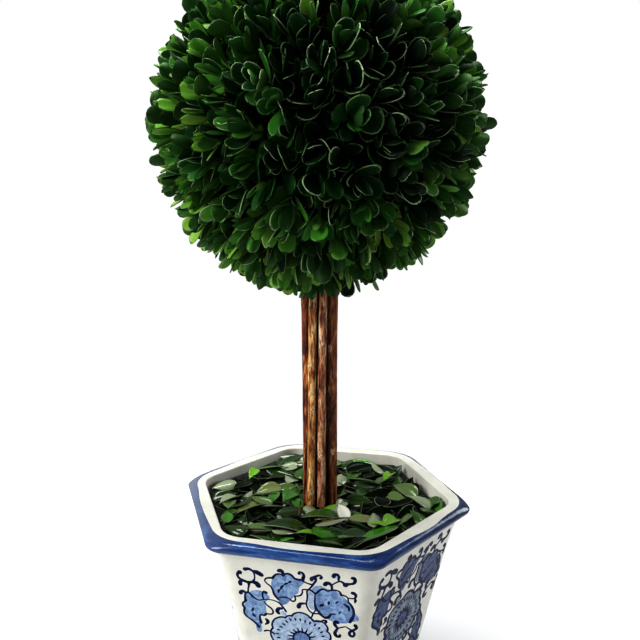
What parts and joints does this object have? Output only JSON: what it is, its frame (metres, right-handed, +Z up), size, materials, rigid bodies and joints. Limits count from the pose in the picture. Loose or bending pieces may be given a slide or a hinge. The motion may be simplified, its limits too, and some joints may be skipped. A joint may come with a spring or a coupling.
{
  "type": "potted preserved boxwood ball topiary",
  "caption": "Clipped ball of preserved boxwood on a bundle of straight sticks, set in a six-sided glazed pot with a rolled rim and filled with loose leaves.",
  "frame": {"origin": "centre of the pot's flat underside, on the pot's axis", "axes": "+Z up along the pot's axis to the ball, and one flat side of the six-sided pot faces -Y"},
  "size_m": [0.1853, 0.1888, 0.4293],
  "materials": {
    "pot_glaze": "glossy off-white glaze with a cobalt blue rolled rim and traditional blue scroll painting",
    "fill_foam": "matt dry foam",
    "litter_leaves": "satin dried leaves",
    "stick_bark": "reddish brown bark with tan streaks",
    "boxwood_leaves": "satin deep green leaves with pale margins"
  },
  "bodies": {
    "root": {"pot": "pot_glaze", "pot_fill": "fill_foam", "leaf_litter": "litter_leaves", "stick_left": "stick_bark", "stick_front_left": "stick_bark", "stick_front_right": "stick_bark", "stick_right": "stick_bark", "stick_back_left": "stick_bark", "stick_back_right": "stick_bark", "boxwood_ball": "boxwood_leaves"}
  },
  "joints": []
}
